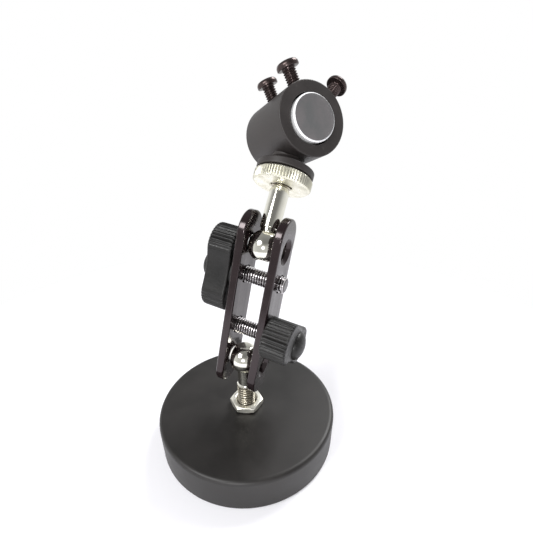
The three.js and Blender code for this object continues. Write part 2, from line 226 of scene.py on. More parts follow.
def make_frames():
    """Frames of the base, the clamp, the rod and the head, each with Z along its own length."""
    lower = joint_place("lower_ball_tilt")
    upper = joint_place("upper_ball_tilt")
    across = joint_axis("lower_ball_tilt")
    along = (upper - lower).normalized()
    clamp = axes_at(lower, across, along.cross(across), along)
    rod_axis = joint_axis("head_turn")
    left_screw = joint_axis("rear_left_screw_travel")
    right_screw = joint_axis("rear_right_screw_travel")
    back = left_screw.cross(right_screw).normalized()
    side = back.cross(rod_axis).normalized()
    rod = axes_at(upper, side, back, rod_axis)
    head = axes_at(joint_place("head_turn"), side, back, rod_axis)
    return Matrix.Identity(4), clamp, rod, head


BASE, CLAMP, ROD, HEAD = make_frames()
BALL_SPACING = (joint_place("upper_ball_tilt") - joint_place("lower_ball_tilt")).length / MM


def bolt_height(name):
    """Height of a cross bolt above the lower ball, along the clamp, in millimetres."""
    return (CLAMP.inverted() @ joint_place(name)).z / MM


UPPER_BOLT = bolt_height("upper_knob_turn")
LOWER_BOLT = bolt_height("lower_knob_turn")


def spun(x=0, y=0, z=0):
    """A turn about X, then Y, then Z, in degrees."""
    turn = Matrix.Rotation(math.radians(z), 4, "Z")
    turn = turn @ Matrix.Rotation(math.radians(y), 4, "Y")
    return turn @ Matrix.Rotation(math.radians(x), 4, "X")


def moved(x=0, y=0, z=0):
    """A shift along X, Y and Z."""
    return Matrix.Translation((x, y, z))


# ---------- mesh code ----------
def skin(rows, ring=False):
    """A closed surface over rows of points, bottom row first. A row of one point closes an end.

    With ring the last row joins the first, for a tube with a bore."""
    bm = bmesh.new()
    made = [[bm.verts.new(point) for point in row] for row in rows]
    pairs = list(zip(made, made[1:]))
    if ring:
        pairs.append((made[-1], made[0]))
    for low, high in pairs:
        count = max(len(low), len(high))
        for i in range(count):
            j = (i + 1) % count
            if len(low) == 1:
                bm.faces.new((low[0], high[j], high[i]))
            elif len(high) == 1:
                bm.faces.new((low[i], low[j], high[0]))
            else:
                bm.faces.new((low[i], low[j], high[j], high[i]))
    bmesh.ops.recalc_face_normals(bm, faces=bm.faces)
    return bm


def rounded(profile, steps=4):
    """Cuts each corner given as (r, z, cut) back by that length and rounds it."""
    points = [Vector(corner[:2]) for corner in profile]
    made = []
    for i, corner in enumerate(profile):
        if len(corner) < 3:
            made.append(tuple(points[i]))
            continue
        here = points[i]
        start = here + (points[i - 1] - here).normalized() * corner[2]
        end = here + (points[(i + 1) % len(points)] - here).normalized() * corner[2]
        for k in range(steps + 1):
            t = k / steps
            made.append(tuple(start * (1 - t) ** 2 + here * (2 * t * (1 - t)) + end * t**2))
    return made


def circle(radius, z, steps, shape=None):
    """A row of points round Z. shape(radius, z, angle) may change the radius."""
    row = []
    for i in range(steps):
        angle = TAU * i / steps
        r = shape(radius, z, angle) if shape else radius
        row.append((r * math.cos(angle), r * math.sin(angle), z))
    return row


def turned(profile, steps=ROUND, ring=False, shape=None):
    """Turns (r, z) points about Z, bottom first on the outside."""
    rows = []
    for r, z in profile:
        rows.append([(0, 0, z)] if r < TOUCH else circle(r, z, steps, shape))
    return skin(rows, ring)


def arc(centre_z, radius, start, end, steps):
    """Points of a circle about the axis, from one angle to another in degrees."""
    points = []
    for i in range(steps + 1):
        angle = math.radians(start + (end - start) * i / steps)
        points.append((radius * math.cos(angle), centre_z + radius * math.sin(angle)))
    return points


def thread_rows(radius, pitch, start, end):
    """Points up the outside of a thread, close enough together to show its grooves."""
    count = max(2, round((end - start) / pitch * THREAD_ROWS))
    return [(radius, start + (end - start) * i / count) for i in range(count + 1)]


def thread_shape(radius, pitch, start, end, depth=THREAD_DEPTH):
    """Cuts a screw thread between two heights of a turned piece, fading out at both ends.

    depth is the groove's depth as a share of the pitch."""
    run_out = THREAD_RUN_OUT * pitch
    slope_share = 1 - THREAD_CREST - THREAD_ROOT

    def shape(r, z, angle):
        if abs(r - radius) > TOUCH or not start <= z <= end:
            return r
        phase = (z / pitch - angle / TAU) % 1.0
        slope = (abs(2 * phase - 1) - THREAD_CREST) / slope_share
        groove = min(1.0, max(0.0, slope))
        fade = min(1.0, (z - start) / run_out, (end - z) / run_out)
        return r - depth * pitch * fade * groove

    return shape


def join_meshes(*parts):
    """One mesh that holds several closed bodies."""
    whole = bmesh.new()
    for part in parts:
        mesh = bpy.data.meshes.new("part")
        part.to_mesh(mesh)
        whole.from_mesh(mesh)
        bpy.data.meshes.remove(mesh)
        part.free()
    return whole


def place(bm, matrix):
    """Moves a mesh within its piece, in millimetres."""
    bmesh.ops.transform(bm, matrix=matrix, verts=bm.verts)
    return bm


def to_object(name, bm):
    mesh = bpy.data.meshes.new(name)
    bm.to_mesh(mesh)
    bm.free()
    made = bpy.data.objects.new(name, mesh)
    bpy.context.scene.collection.objects.link(made)
    return made


def carved(body, cutter):
    """body with cutter's bodies cut out of it, as a new mesh."""
    target = to_object("carve_target", body)
    tool = to_object("carve_tool", cutter)
    cut = target.modifiers.new("cut", "BOOLEAN")
    cut.operation = "DIFFERENCE"
    cut.solver = "EXACT"
    cut.object = tool
    bpy.context.view_layer.update()
    solved = target.evaluated_get(bpy.context.evaluated_depsgraph_get())
    mesh = bpy.data.meshes.new_from_object(solved)
    result = bmesh.new()
    result.from_mesh(mesh)
    for leftover in (target, tool):
        old = leftover.data
        bpy.data.objects.remove(leftover)
        bpy.data.meshes.remove(old)
    bpy.data.meshes.remove(mesh)
    return result


def edge_rounding(made, width):
    """Rounds every sharp edge of a piece a little."""
    bevel = made.modifiers.new("edges", "BEVEL")
    bevel.width = width * MM
    bevel.segments = 2
    bevel.limit_method = "ANGLE"
    bevel.angle_limit = math.radians(EDGE_ANGLE)
    bevel.harden_normals = False


def piece(name, bm, materials, body, at, crease=CREASE, edges=0, paint=None):
    """Finishes a mesh made in millimetres into a piece that rides on a body.

    paint(face centre) picks the index of the material for a face."""
    place(bm, Matrix.Scale(MM, 4))
    made = to_object(name, bm)
    mesh = made.data
    for material in materials if isinstance(materials, list) else [materials]:
        mesh.materials.append(material)
    for face in mesh.polygons:
        face.use_smooth = True
        if paint:
            face.material_index = paint(face.center / MM)
    mesh.set_sharp_from_angle(angle=math.radians(crease))
    made.matrix_world = at
    if edges:
        edge_rounding(made, edges)
    weighted = made.modifiers.new("normals", "WEIGHTED_NORMAL")
    weighted.keep_sharp = True
    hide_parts(name)
    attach(made, body)


# ---------- materials ----------
class Nodes:
    """A small helper that adds shader nodes and links them."""

    def __init__(self, name):
        self.material = bpy.data.materials.new(name)
        self.material.use_nodes = True
        self.tree = self.material.node_tree
        self.shader = self.tree.nodes["Principled BSDF"]
        self.place = self.add("ShaderNodeTexCoord").outputs["Object"]

    def add(self, kind, **settings):
        node = self.tree.nodes.new(kind)
        for key, value in settings.items():
            if key in node.inputs:
                self.put(node.inputs[key], value)
            else:
                setattr(node, key, value)
        return node

    def put(self, socket, value):
        if isinstance(value, bpy.types.NodeSocket):
            self.tree.links.new(value, socket)
        else:
            socket.default_value = value

    def stretch(self, factors):
        """The object's coordinates, stretched along its own axes."""
        node = self.add("ShaderNodeMapping", Vector=self.place)
        node.inputs["Scale"].default_value = factors
        return node.outputs["Vector"]

    def noise(self, scale, detail=3.0, rough=0.5, where=None):
        node = self.add("ShaderNodeTexNoise", Vector=where or self.place)
        node.inputs["Scale"].default_value = scale
        node.inputs["Detail"].default_value = detail
        node.inputs["Roughness"].default_value = rough
        return node.outputs["Fac"]

    def ramp(self, value, low, high, start=0.0, end=1.0):
        """Maps a value from start..end to low..high."""
        node = self.add("ShaderNodeMapRange", clamp=True)
        self.put(node.inputs["Value"], value)
        node.inputs["From Min"].default_value = start
        node.inputs["From Max"].default_value = end
        node.inputs["To Min"].default_value = low
        node.inputs["To Max"].default_value = high
        return node.outputs["Result"]

    def mix(self, factor, first, second):
        node = self.add("ShaderNodeMix", data_type="RGBA")
        self.put(node.inputs[0], factor)
        for socket, value in ((node.inputs[6], first), (node.inputs[7], second)):
            self.put(socket, value if isinstance(value, bpy.types.NodeSocket) else (*value, 1.0))
        return node.outputs[2]

    def math(self, operation, first, second):
        node = self.add("ShaderNodeMath", operation=operation)
        self.put(node.inputs[0], first)
        self.put(node.inputs[1], second)
        return node.outputs[0]

    def edge_highlight_mask(self, start, end):
        """0 on faces and 1 on rounded outer edges, where a painted edge highlight goes."""
        geometry = self.add("ShaderNodeNewGeometry")
        return self.ramp(geometry.outputs["Pointiness"], 0.0, 1.0, start, end)

    def patches(self, value, first, second):
        """Two colours in soft patches, from the middle of a noise's range."""
        return self.mix(self.ramp(value, 0.0, 1.0, 0.35, 0.7), first, second)

    def bump(self, height, distance, strength=1.0, below=None):
        """A bump whose height 1 stands for distance millimetres."""
        node = self.add("ShaderNodeBump", Height=height)
        node.inputs["Distance"].default_value = distance * MM
        node.inputs["Strength"].default_value = strength
        if below:
            self.put(node.inputs["Normal"], below)
        return node.outputs["Normal"]

    def finish(self, colour, roughness, normal=None, **constants):
        self.put(self.shader.inputs["Base Color"], colour)
        self.put(self.shader.inputs["Roughness"], roughness)
        if normal:
            self.put(self.shader.inputs["Normal"], normal)
        for key, value in constants.items():
            self.shader.inputs[key.replace("_", " ")].default_value = value
        return self.material


def lathe_marks(nodes):
    """Fine rings round the piece's own Z axis."""
    return nodes.noise(9000.0, 2.0, 0.6, nodes.stretch((0.02, 0.02, 1.0)))


def face_rings(nodes):
    """Fine circles on faces that were turned flat."""
    wave = nodes.add("ShaderNodeTexWave", Vector=nodes.place, wave_type="RINGS", rings_direction="Z")
    wave.inputs["Scale"].default_value = 5200.0
    wave.inputs["Distortion"].default_value = 0.6
    wave.inputs["Detail"].default_value = 2.0
    return wave.outputs["Fac"]


def in_groove(nodes, radius, depth):
    """0 on a thread's crests and 1 at the bottom of its groove. The thread runs along Z."""
    crest = (radius - 0.15 * depth) * MM
    flat = nodes.stretch((1.0, 1.0, 0.0))
    distance = nodes.add("ShaderNodeVectorMath", operation="LENGTH", Vector=flat).outputs["Value"]
    return nodes.ramp(distance, 1.0, 0.0, (radius - depth) * MM, crest)


def plated(name, colour, tint, rough=0.07, thread=None):
    """Bright plating over turned steel, with faint marks and a cloudy film.

    thread gives the outer radius and depth of a thread whose grooves get painted shade."""
    n = Nodes(name)
    cloud = n.noise(260.0, 4.0, 0.6)
    shade = n.patches(cloud, colour, tint)
    if thread:
        # painted shade down in the thread's grooves
        shade = n.mix(n.math("MULTIPLY", in_groove(n, *thread), 0.93), shade, GROOVE_SHADE)
    marks = lathe_marks(n)
    film = n.ramp(cloud, rough, rough * 2.2, 0.35, 0.75)
    roughness = n.math("ADD", film, n.ramp(marks, 0.0, 0.05))
    normal = n.bump(marks, 0.004, 0.5)
    normal = n.bump(n.noise(1500.0, 2.0), 0.004, 0.35, normal)
    return n.finish(shade, roughness, normal, Metallic=1.0)


def black_plate(name):
    """Gloss black coating on stamped plates, with a painted highlight in patches on the edges."""
    n = Nodes(name)
    cloud = n.noise(170.0, 4.0, 0.6)
    dull = n.patches(cloud, (0.007, 0.0038, 0.0042), (0.012, 0.007, 0.0078))
    # painted edge highlight, broken into patches
    highlight_patches = n.ramp(n.noise(900.0, 5.0), 0.0, 1.0, 0.5, 0.62)
    edge_highlight = n.math("MULTIPLY", n.edge_highlight_mask(0.53, 0.62), highlight_patches)
    colour = n.mix(n.math("MULTIPLY", edge_highlight, 0.3), dull, (0.12, 0.1, 0.1))
    grain = n.noise(2600.0, 3.0, 0.6, n.stretch((1.0, 1.0, 0.06)))
    roughness = n.math("ADD", n.ramp(cloud, 0.1, 0.2, 0.3, 0.75), n.ramp(grain, 0.0, 0.05))
    normal = n.bump(n.noise(330.0, 2.0), 0.02, 0.35)
    normal = n.bump(grain, 0.003, 0.4, normal)
    return n.finish(colour, roughness, normal, IOR=1.52, Specular_Tint=(1.0, 0.88, 0.9, 1.0))


def satin_black(name, colour, lighter, rough, grain=2400.0):
    """Satin black coating with a fine grain and faint turning marks under it, and a painted highlight on
    its edges.
    """
    n = Nodes(name)
    cloud = n.noise(90.0, 5.0, 0.6)
    shade = n.patches(cloud, colour, lighter)
    speck = n.noise(grain, 3.0, 0.7)
    # painted edge highlight, broken into patches
    highlight_patches = n.ramp(n.noise(700.0, 4.0), 0.0, 1.0, 0.52, 0.66)
    edge_highlight = n.math("MULTIPLY", n.edge_highlight_mask(0.52, 0.6), highlight_patches)
    shade = n.mix(n.math("MULTIPLY", edge_highlight, 0.3), shade, (0.09, 0.085, 0.08))
    film = n.ramp(cloud, rough - 0.05, rough + 0.07, 0.3, 0.75)
    roughness = n.math("ADD", film, n.ramp(speck, -0.04, 0.05))
    normal = n.bump(speck, 0.012, 0.5)
    normal = n.bump(face_rings(n), 0.003, 0.35, normal)
    return n.finish(shade, roughness, normal, Specular_IOR_Level=0.5)


def moulded_plastic(name):
    """Black moulded plastic with a spark-eroded texture, and a painted highlight on its ridges, which are
    smoother too.
    """
    n = Nodes(name)
    cloud = n.noise(120.0, 4.0, 0.6)
    shade = n.patches(cloud, (0.006, 0.0058, 0.0056), (0.014, 0.0128, 0.012))
    # painted highlight on the ridges and edges, in patches; the same mask makes them smoother
    highlight_and_polish = n.math("MULTIPLY", n.edge_highlight_mask(0.52, 0.6), n.ramp(cloud, 0.3, 1.0, 0.4, 0.65))
    shade = n.mix(n.math("MULTIPLY", highlight_and_polish, 0.45), shade, (0.075, 0.075, 0.075))
    grain = n.noise(1500.0, 4.0, 0.7)
    roughness = n.math("ADD", n.ramp(grain, 0.3, 0.55, 0.3, 0.7), n.math("MULTIPLY", highlight_and_polish, -0.1))
    normal = n.bump(grain, 0.08, 0.8)
    normal = n.bump(n.noise(420.0, 3.0), 0.16, 0.5, normal)
    return n.finish(shade, roughness, normal, Specular_IOR_Level=0.4)


def black_oxide(name):
    """Oiled black oxide on screws."""
    n = Nodes(name)
    cloud = n.noise(600.0, 4.0, 0.6)
    colour = n.patches(cloud, (0.05, 0.036, 0.036), (0.09, 0.068, 0.064))
    roughness = n.ramp(cloud, 0.2, 0.34, 0.3, 0.75)
    normal = n.bump(n.noise(3200.0, 3.0), 0.01, 0.4)
    return n.finish(colour, roughness, normal, Metallic=0.85)


def zinc_steel(name):
    """Bright zinc on bolt threads, with painted shade down in the grooves."""
    n = Nodes(name)
    cloud = n.noise(700.0, 4.0, 0.6)
    colour = n.patches(cloud, (0.66, 0.64, 0.65), (0.78, 0.75, 0.75))
    groove = in_groove(n, BOLT_R, THREAD_DEPTH * BOLT_PITCH)
    # painted shade down in the thread's grooves
    colour = n.mix(n.math("MULTIPLY", groove, 0.95), colour, GROOVE_SHADE)
    roughness = n.ramp(cloud, 0.16, 0.3, 0.3, 0.75)
    normal = n.bump(n.noise(4200.0, 3.0), 0.006, 0.4)
    return n.finish(colour, roughness, normal, Metallic=1.0)


def rubber_foam(name):
    """Matt foam rubber with small closed cells."""
    n = Nodes(name)
    cells = n.add("ShaderNodeTexVoronoi", Vector=n.place, feature="F1")
    cells.inputs["Scale"].default_value = 2600.0
    size = cells.outputs["Distance"]
    shade = n.mix(n.ramp(size, 0.0, 1.0, 0.1, 0.6), (0.008, 0.008, 0.008), (0.022, 0.022, 0.021))
    roughness = n.ramp(n.noise(400.0), 0.82, 0.95)
    normal = n.bump(size, 0.08, 0.7)
    return n.finish(shade, roughness, normal, Specular_IOR_Level=0.3)


def lens_face(name):
    """Glass with a painted soft grey that stands in for light seen through the lens from the open bore
    behind it.
    """
    n = Nodes(name)
    grey_noise = n.noise(230.0, 3.0, 0.5)
    # painted grey for the light seen through the lens
    shade = n.patches(grey_noise, (0.2, 0.202, 0.206), (0.26, 0.242, 0.248))
    roughness = n.ramp(n.noise(500.0, 3.0), 0.03, 0.08)
    normal = n.bump(n.noise(120.0, 1.0), 0.01, 0.2)
    return n.finish(shade, roughness, normal, IOR=1.5, Transmission_Weight=0.45)


def ground_rim(name):
    """White ground chamfer round the front of a lens."""
    n = Nodes(name)
    grit = n.noise(2800.0, 4.0, 0.7)
    shade = n.mix(n.ramp(grit, 0.0, 1.0, 0.3, 0.7), (0.88, 0.89, 0.92), (0.97, 0.97, 0.98))
    roughness = n.ramp(grit, 0.45, 0.65, 0.3, 0.7)
    normal = n.bump(grit, 0.012, 0.5)
    return n.finish(shade, roughness, normal)


def polished_edge(name):
    """Bright polished edge of a lens, which mirrors like silver from inside."""
    n = Nodes(name)
    grit = n.noise(2800.0, 4.0, 0.7)
    shade = n.mix(n.ramp(grit, 0.0, 1.0, 0.3, 0.7), (0.86, 0.86, 0.87), (0.95, 0.95, 0.95))
    roughness = n.ramp(grit, 0.22, 0.36, 0.3, 0.7)
    normal = n.bump(grit, 0.006, 0.4)
    return n.finish(shade, roughness, normal, Metallic=0.35)


base_black = satin_black("base_black", (0.0085, 0.0072, 0.0066), (0.015, 0.013, 0.012), 0.46)
barrel_black = satin_black("barrel_black", (0.019, 0.0155, 0.015), (0.032, 0.0265, 0.0255), 0.5, 3600.0)
chrome = plated("chrome", (0.82, 0.81, 0.735), (0.74, 0.725, 0.64), 0.07)
nut_plating = plated("nut_plating", (0.96, 0.945, 0.87), (0.9, 0.88, 0.78), 0.28)
m6_groove = (M6_R, THREAD_DEPTH * M6_PITCH)
chrome_thread = plated("chrome_thread", (0.6, 0.56, 0.46), (0.5, 0.46, 0.37), 0.16, m6_groove)
nickel = plated("nickel", (0.85, 0.83, 0.72), (0.77, 0.75, 0.62), 0.24)
plate_black = black_plate("plate_black")
knob_plastic = moulded_plastic("knob_plastic")
screw_black = black_oxide("screw_black")
bolt_steel = zinc_steel("bolt_steel")
pad_foam = rubber_foam("pad_foam")
glass_face = lens_face("glass_face")
glass_edge = polished_edge("glass_edge")
glass_rim = ground_rim("glass_rim")


# ---------- base ----------
def make_base():
    recess = PAD_PROUD + PAD_T
    bore = M6_R + GAP
    lead = 0.4
    profile = rounded([
        (0, recess),
        (PAD_R + GAP, recess, CORNER),
        (PAD_R + GAP, PAD_PROUD, FINE_CORNER),
        (BASE_FOOT_R, PAD_PROUD, 0.4),
        (BASE_R, BASE_TOP, BASE_EDGE),
        (bore + lead, BASE_TOP, CORNER),
        (bore, BASE_TOP - lead, INNER_CORNER),
        (bore, STUD_HOLE_BOTTOM),
        (0, STUD_HOLE_BOTTOM),
    ], BASE_STEPS)
    piece("base_body", turned(profile, 2 * ROUND), base_black, "base", BASE)


def make_pad():
    profile = rounded([(0, 0), (PAD_R, 0, CORNER), (PAD_R, PAD_T, CORNER), (0, PAD_T)])
    piece("base_pad", turned(profile), pad_foam, "base", BASE)


def hex_chamfer_row(flats, cone_radius, z, direction):
    """Where a 30 degree cone that starts at cone_radius meets the hexagon's sides."""
    row = []
    for i in range(NUT_POINTS):
        angle = TAU * i / NUT_POINTS
        from_flat = (angle % (TAU / 6)) - TAU / 12
        radius = max(flats / 2 / math.cos(from_flat), cone_radius + 0.02)
        height = z + direction * (radius - cone_radius) * math.tan(math.radians(30))
        row.append((radius * math.cos(angle), radius * math.sin(angle), height))
    return row


def make_hex_nut():
    cone = NUT_FLATS / 2 - 0.15
    bore = M6_R + GAP
    mouth = bore + 0.5
    lead = 0.45
    rows = [
        circle(bore, lead, NUT_POINTS),
        circle(mouth, 0, NUT_POINTS),
        circle(cone, 0, NUT_POINTS),
        hex_chamfer_row(NUT_FLATS, cone, 0, 1),
        hex_chamfer_row(NUT_FLATS, cone, NUT_H, -1),
        circle(cone, NUT_H, NUT_POINTS),
        circle(mouth, NUT_H, NUT_POINTS),
        circle(bore, NUT_H - lead, NUT_POINTS),
    ]
    nut = place(skin(rows, ring=True), moved(z=BASE_TOP + GAP) @ spun(z=NUT_TURN + 30))
    piece("base_lock_nut", nut, nut_plating, "base_nut", BASE, crease=24, edges=0.09)


# ---------- ball studs ----------
BALL_FLAT_H = math.sqrt(BALL_R**2 - BALL_FLAT_R**2)
NECK_ANGLE = math.degrees(math.acos(NECK_R / BALL_R))
FLAT_ANGLE = math.degrees(math.acos(BALL_FLAT_R / BALL_R))


def ball(centre_z):
    """A ball's outside from its neck up to its flat end."""
    points = arc(centre_z, BALL_R, -NECK_ANGLE, FLAT_ANGLE - BALL_FLAT_EDGE, BALL_STEPS)
    return points + [(BALL_FLAT_R - 0.1, centre_z + BALL_FLAT_H), (0, centre_z + BALL_FLAT_H)]


def make_lower_stud():
    start = STUD_HOLE_BOTTOM + 1
    thread_start = start + 0.4
    centre = joint_place("lower_ball_tilt").z / MM
    profile = [
        (0, start),
        (M6_R - 0.5, start),
        *thread_rows(M6_R, M6_PITCH, thread_start, LOWER_THREAD_TOP),
        (M6_R - 0.1, LOWER_THREAD_TOP + 0.15),
        (NECK_R + 0.06, LOWER_THREAD_TOP + 0.45),
        (NECK_R, LOWER_THREAD_TOP + 0.6),
        *ball(centre),
    ]
    shape = thread_shape(M6_R, M6_PITCH, thread_start, LOWER_THREAD_TOP)

    def paint(spot):
        return 1 if spot.z < LOWER_THREAD_TOP else 0

    stud = turned(profile, SMALL, shape=shape)
    piece("lower_ball_stud", stud, [chrome, chrome_thread], "lower_stud", BASE, paint=paint)


def make_upper_rod():
    thread_start = ROD_SHOULDER + ROD_RELIEF
    top = thread_start + ROD_THREAD
    thread = (thread_start + 0.3, top - 0.4)
    core = ROD_R - 0.45
    start = math.sqrt(BALL_R**2 - NECK_R**2) + 0.7
    profile = [(r, -z) for r, z in reversed(ball(0))]
    profile += rounded([
        (NECK_R, start),
        (ROD_R, start + 0.4, FINE_CORNER),
        (ROD_R, ROD_SHOULDER, 0.4),
        (core, ROD_SHOULDER, INNER_CORNER),
        (core, thread_start),
    ])
    profile += [
        *thread_rows(M6_R, M6_PITCH, *thread),
        (core, top),
        (0, top),
    ]
    shape = thread_shape(M6_R, M6_PITCH, *thread)

    def paint(spot):
        return 1 if spot.z > thread_start else 0

    rod = turned(profile, ROD_SIDES, shape=shape)
    piece("upper_ball_rod", rod, [chrome, chrome_thread], "upper_rod", ROD, paint=paint)


# ---------- clamp plates ----------
def obround(half_width, low, high, z):
    """A row round a plate with two round ends, centred on X = 0 and running along Y."""
    row = []
    for centre_y, half_turns in ((high, 0), (low, 1)):
        for i in range(SMALL + 1):
            angle = math.pi * (half_turns + i / SMALL)
            row.append((half_width * math.cos(angle), centre_y + half_width * math.sin(angle), z))
    return row


def holed_plate(outer_rows, hole_rows):
    """A plate whose outer wall and hole walls are rows of points, closed by two flat faces."""
    bm = bmesh.new()
    ends = ([], [])
    for rows in [outer_rows, *hole_rows]:
        made = [[bm.verts.new(point) for point in row] for row in rows]
        for low, high in zip(made, made[1:]):
            for i in range(len(low)):
                j = (i + 1) % len(low)
                bm.faces.new((low[i], low[j], high[j], high[i]))
        for end, row in zip(ends, (made[0], made[-1])):
            for i in range(len(row)):
                end.append(bm.edges.get((row[i], row[(i + 1) % len(row)])))
    for end in ends:
        bmesh.ops.triangle_fill(bm, edges=end, use_beauty=True)
    bmesh.ops.recalc_face_normals(bm, faces=bm.faces)
    return bm


def edge_steps(cut, steps=5):
    """(inset, rise) pairs of a quarter round."""
    pairs = []
    for i in range(steps + 1):
        turn = math.pi / 2 * i / steps
        pairs.append((cut * (1 - math.sin(turn)), cut * (1 - math.cos(turn))))
    return pairs


def hole(centre_y, profile):
    """Rows of a round hole's wall, from (radius, z) pairs."""
    return [[(x, y + centre_y, z) for x, y, z in circle(r, z, SMALL)] for r, z in profile]


def make_plate(side):
    rounds = edge_steps(PLATE_EDGE)
    outer = rounds + [(inset, PLATE_T - rise) for inset, rise in reversed(rounds)]
    low = -PLATE_REACH
    high = BALL_SPACING + PLATE_REACH
    outer_rows = [obround(PLATE_HALF_W - inset, low, high, z) for inset, z in outer]
    mouth = PLATE_T - SEAT_MOUTH_DEPTH
    seat = rounded([
        (SEAT_R + 0.2, 0),
        (SEAT_R, 0.2, 0.08),
        (SEAT_R, mouth, CORNER),
        (SEAT_MOUTH_R, PLATE_T - FINE_CORNER, INNER_CORNER),
        (SEAT_MOUTH_R + FINE_CORNER, PLATE_T),
    ])
    bore = BOLT_R + GAP
    bolt = [
        (bore + CORNER, 0),
        (bore, CORNER),
        (bore, PLATE_T - CORNER),
        (bore + CORNER, PLATE_T),
    ]
    holes = [hole(0, seat), hole(BALL_SPACING, seat), hole(LOWER_BOLT, bolt), hole(UPPER_BOLT, bolt)]
    plate = holed_plate(outer_rows, holes)
    stand_up = axes_at((side * PLATE_INNER, 0, 0), (0, side, 0), (0, 0, 1), (side, 0, 0))
    place(plate, stand_up)
    name = "right_clamp_plate" if side > 0 else "left_clamp_plate"
    piece(name, plate, plate_black, "clamp", CLAMP, crease=50)


# ---------- cross bolts and knobs ----------
def across(side, height):
    """Frame of a cross bolt: Z outward through its knob, X up along the clamp."""
    return CLAMP @ axes_at((0, 0, height * MM), (0, 0, 1), (0, -side, 0), (side, 0, 0))


def make_bolt(name, body, side, height, proud):
    outer_face = PLATE_INNER + PLATE_T
    head_end = outer_face + GAP + KNOB_HUB_H + BOLT_IN_KNOB
    far_end = -(outer_face + proud)
    thread = (far_end + 0.35, head_end - 0.2)
    profile = [
        (0, far_end),
        (BOLT_R - 0.55, far_end),
        (BOLT_R - 0.45, far_end + 0.08),
        *thread_rows(BOLT_R, BOLT_PITCH, *thread),
        (BOLT_R - 0.3, head_end),
        (0, head_end),
    ]
    shape = thread_shape(BOLT_R, BOLT_PITCH, *thread)
    bolt = turned(profile, SMALL, shape=shape)
    piece(name, bolt, bolt_steel, body, across(side, height))


def knob_outline(inset, depth):
    """Points round a knob: two ridged lobes and a slightly waisted middle, inset from the widest line."""
    lobe_centre = KNOB_HALF_LENGTH - KNOB_LOBE_R
    sweep = math.radians(KNOB_SWEEP)
    points = []
    for end in (1, -1):
        lobe = []
        for i in range(LOBE_STEPS + 1):
            turn = sweep * (i / LOBE_STEPS - 0.5)
            run = turn * KNOB_LOBE_R / KNOB_RIDGE_PITCH
            fade = min(1.0, 6 * min(i, LOBE_STEPS - i) / LOBE_STEPS)
            ridge = 0.5 - 0.5 * math.cos(TAU * run)
            radius = KNOB_LOBE_R - inset - depth * fade * (1 - ridge**0.7)
            lobe.append((end * (lobe_centre + radius * math.cos(turn)), end * radius * math.sin(turn)))
        points += lobe
        start = Vector(lobe[-1])
        finish = Vector((-start.x, start.y))
        middle = Vector((0, end * (KNOB_WAIST - inset)))
        for i in range(1, WAIST_STEPS):
            t = i / WAIST_STEPS
            control = middle * 2 - (start + finish) / 2
            points.append(tuple(start * (1 - t) ** 2 + control * (2 * t * (1 - t)) + finish * t**2))
    return points


def towards_circle(outline, radius, share, z):
    """A row part of the way from an outline to a circle."""
    row = []
    for x, y in outline:
        length = math.hypot(x, y)
        scale = 1 + (radius / length - 1) * share
        row.append((x * scale, y * scale, z))
    return row


def knob_rim(start, direction):
    """Rows of a knob's rounded rim, from its flat face at start towards its wall."""
    rows = []
    for inset, rise in edge_steps(KNOB_RIM, RIM_STEPS):
        depth = KNOB_RIDGE_DEPTH * (1 - (1 - RIM_RIDGES) * inset / KNOB_RIM)
        rows.append([(x, y, start + direction * rise) for x, y in knob_outline(inset, depth)])
    return rows


def make_knob(name, body, side, height, turn):
    hub_start = PLATE_INNER + PLATE_T + GAP
    start = hub_start + KNOB_HUB_H
    end = start + KNOB_T
    bore = BOLT_R + GAP
    bore_end = start + BOLT_IN_KNOB + GAP
    outline = knob_outline(0, KNOB_RIDGE_DEPTH)

    def ring(radius, z):
        return towards_circle(outline, radius, 1.0, z)

    hub = rounded([
        (bore + 0.3, hub_start),
        (KNOB_HUB_R, hub_start, 0.25),
        (KNOB_HUB_R, start, 0.2),
        (KNOB_HUB_R + 0.5, start),
    ])
    lead = 0.2
    rows = [
        [(0, 0, bore_end)],
        ring(bore, bore_end),
        ring(bore, hub_start + lead),
        ring(bore + lead, hub_start),
    ]
    rows += [ring(r, z) for r, z in hub]
    face = knob_outline(KNOB_RIM, KNOB_RIDGE_DEPTH * RIM_RIDGES)
    for share in (0.75, 0.35):
        rows.append(towards_circle(face, KNOB_HUB_R + 0.6, share, start))
    rows += knob_rim(start, 1)
    for k in range(1, WALL_STEPS):
        z = start + KNOB_RIM + (KNOB_T - 2 * KNOB_RIM) * k / WALL_STEPS
        rows.append([(x, y, z) for x, y in outline])
    rows += reversed(knob_rim(end, -1))
    dome_edge = KNOB_CROWN_R + 0.1
    rows.append(towards_circle(face, dome_edge, 0.3, end + 0.02))
    rows.append(towards_circle(face, dome_edge, 0.7, end + 0.03))
    rows.append(ring(dome_edge, end + 0.03))
    step = 0.06
    for k in range(DOME_STEPS):
        lift = math.pi / 2 * k / DOME_STEPS
        z = end + step + (KNOB_CROWN_H - step) * math.sin(lift)
        rows.append(ring(KNOB_CROWN_R * math.cos(lift), z))
    rows.append([(0, 0, end + KNOB_CROWN_H)])
    knob = place(skin(rows), spun(z=turn))
    piece(name, knob, knob_plastic, body, across(side, height), crease=60)


# ---------- nut and collar on the rod ----------
def knurl_shape(r, z, angle):
    """Straight teeth round the lock nut's rim, dying out where the rim is chamfered."""
    tooth = abs(((angle * KNURL_TEETH / TAU) % 1.0) * 2 - 1)
    return min(r, KNURL_R - KNURL_DEPTH * min(1.0, tooth * 1.25))


